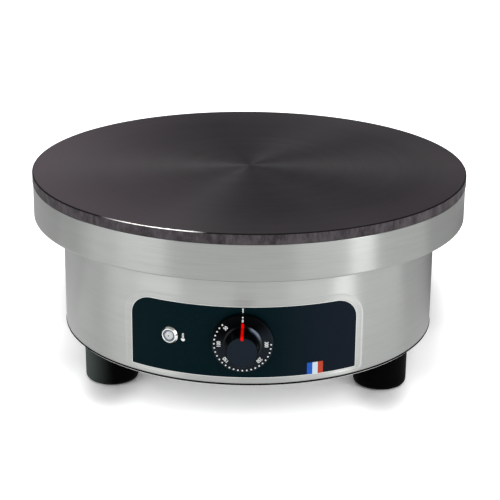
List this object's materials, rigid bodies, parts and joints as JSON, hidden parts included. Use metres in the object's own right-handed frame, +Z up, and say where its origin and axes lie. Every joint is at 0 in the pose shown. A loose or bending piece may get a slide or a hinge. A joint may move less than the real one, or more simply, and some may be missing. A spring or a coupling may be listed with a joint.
{
  "type": "electric crepe maker",
  "caption": "Round electric crepe maker: flat cast griddle on a stepped steel drum with a dark control panel, thermostat knob, pilot lamp and rubber feet.",
  "frame": {"origin": "centre of the footprint, on the floor under the feet", "axes": "+Z up, -Y towards the control panel at the front, +X to the right as seen from the front"},
  "size_m": [0.3999, 0.4, 0.184],
  "materials": {
    "bare_steel": "plain pressed sheet",
    "bezel_chrome": "polished ring",
    "block_nylon": "natural nylon",
    "brass": "plain",
    "bush_ceramic": "unglazed steatite, off white",
    "cast_plate": "ground flat and seasoned, dark grey with a fine radial grain",
    "collar_steel": "brushed round the axis",
    "copper_line": "drawn copper",
    "drum_steel": "brushed round the axis",
    "foot_rubber": "moulded, satin",
    "gland_black": "nylon",
    "knob_plastic": "satin moulding, blue black",
    "lamp_white": "lamp holder",
    "lead_dark": "heat-proof lead",
    "lead_sleeve": "woven glass sleeve over heat-proof leads",
    "lens_clear": "clear ribbed lens",
    "mineral_wool": "pressed mineral fibre board",
    "panel_film": "smooth blue black",
    "pointer_red": "red insert",
    "ring_sheath": "dull grey heater sheath",
    "seal_rubber": "soft seal",
    "switch_case": "moulded switch case",
    "zinc_steel": "zinc plated fastener"
  },
  "bodies": {
    "housing": {"griddle_plate": "cast_plate", "heating_ring_inner": "ring_sheath", "heating_ring_middle": "ring_sheath", "heating_ring_outer": "ring_sheath", "clamp_bars": "bare_steel", "clamp_studs": "zinc_steel", "clamp_nuts": "zinc_steel", "tie_studs": "zinc_steel", "tie_nuts": "zinc_steel", "insulation_pad": "mineral_wool", "heat_shield": "bare_steel", "leg_bushes": "bush_ceramic", "upper_collar": "collar_steel", "drum_shell": "drum_steel", "flange_screws": "zinc_steel", "flange_nuts": "zinc_steel", "base_plate": "bare_steel", "base_screws": "zinc_steel", "rivet_nuts": "zinc_steel", "foot_right": "foot_rubber", "foot_rear": "foot_rubber", "foot_left": "foot_rubber", "foot_washers": "zinc_steel", "foot_screws": "zinc_steel", "foot_nuts": "zinc_steel", "control_panel": "panel_film", "thermostat_body": "switch_case", "thermostat_bracket": "bare_steel", "thermostat_screws": "zinc_steel", "thermostat_bulb": "copper_line", "capillary_tube": "copper_line", "bulb_clips": "bare_steel", "clip_screws": "zinc_steel", "lamp_bezel": "bezel_chrome", "lamp_lens": "lens_clear", "lamp_body": "lamp_white", "lamp_clip": "zinc_steel", "gland_body": "gland_black", "gland_locknut": "gland_black", "gland_dome": "gland_black", "gland_seal": "seal_rubber", "terminal_block": "block_nylon", "terminal_screws": "brass", "earth_stud": "brass", "earth_nuts": "brass", "heater_leads": "lead_sleeve", "supply_lead": "lead_dark", "lamp_leads": "lead_dark"},
    "knob": {"control_knob": "knob_plastic", "knob_pointer": "pointer_red", "knob_spring": "zinc_steel", "thermostat_shaft": "zinc_steel"}
  },
  "joints": [
    {"name": "knob_turn", "type": "hinge", "parent": "housing", "child": "knob", "pos_m": [0, -0.174, 0.0786], "axis": [0, 1, 0], "range_deg": [0, 270]}
  ]
}
